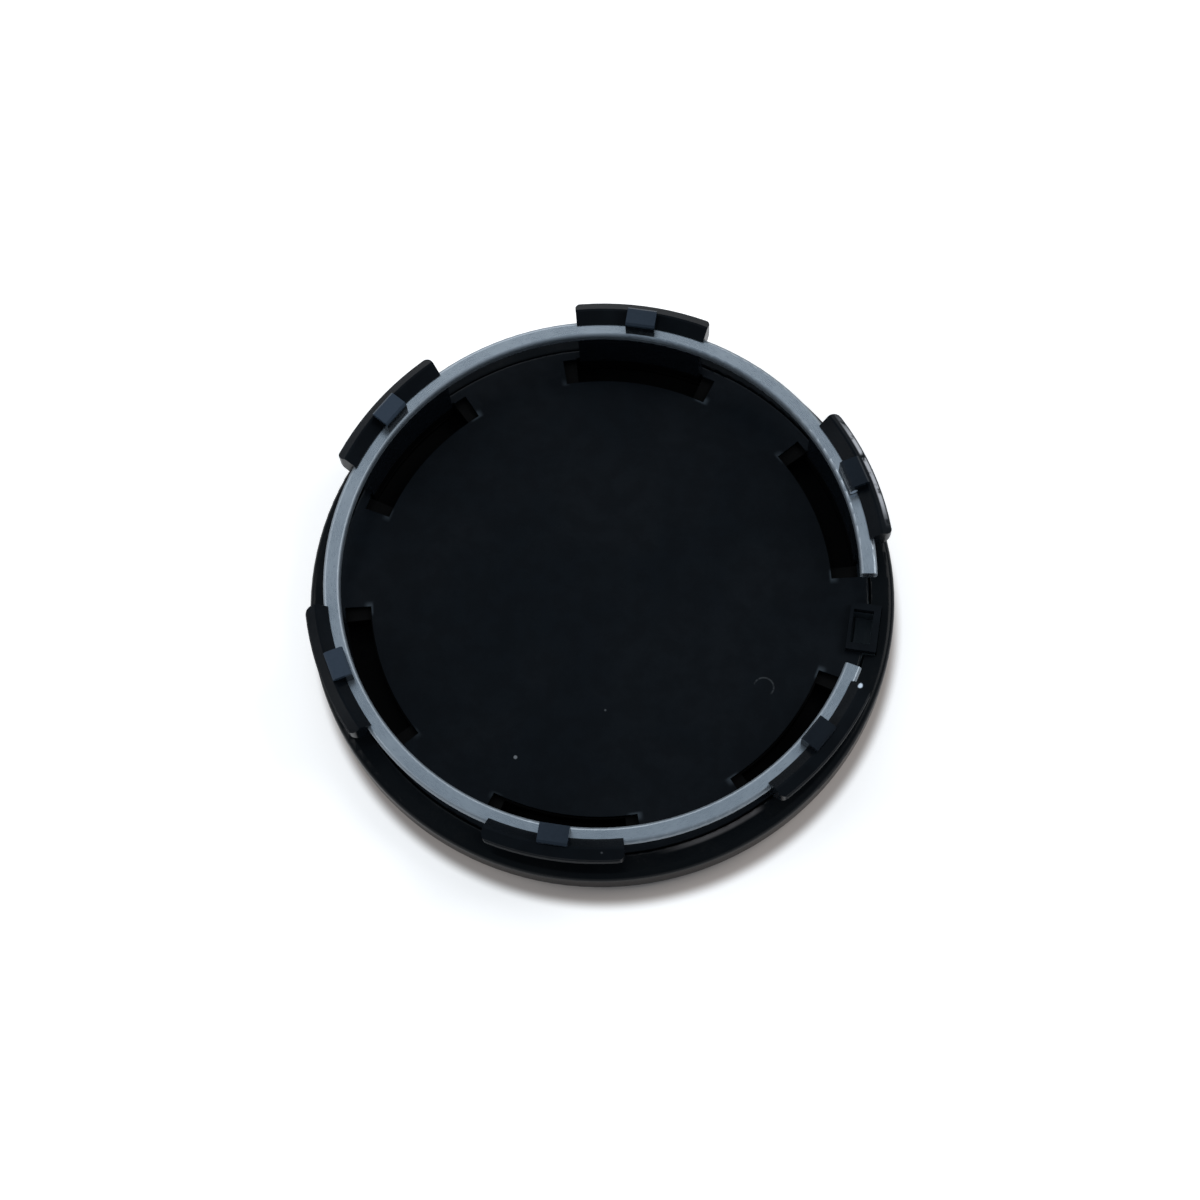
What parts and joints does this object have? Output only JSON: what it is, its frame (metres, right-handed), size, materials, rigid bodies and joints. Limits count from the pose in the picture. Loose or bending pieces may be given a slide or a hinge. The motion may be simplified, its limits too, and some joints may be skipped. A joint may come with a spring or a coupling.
{
  "type": "wheel centre cap",
  "caption": "Round snap-in wheel centre cap: a plain rounded front cover, a clip carrier with sprung barbed tongues, and a split steel ring that springs the tongues out.",
  "frame": {"origin": "centre of the front face, which the cap lies on", "axes": "+Z along the cap's axis, from the front face into the wheel; the locating key and the ring's gap lie 9 degrees below +X"},
  "size_m": [0.06, 0.06, 0.0123],
  "materials": {
    "cover_plastic": "moulded, glossy black",
    "carrier_plastic": "moulded, satin black",
    "ring_steel": "plain drawn spring steel"
  },
  "bodies": {
    "root": {"front_cover": "cover_plastic", "clip_carrier": "carrier_plastic", "retaining_ring": "ring_steel"}
  },
  "joints": []
}
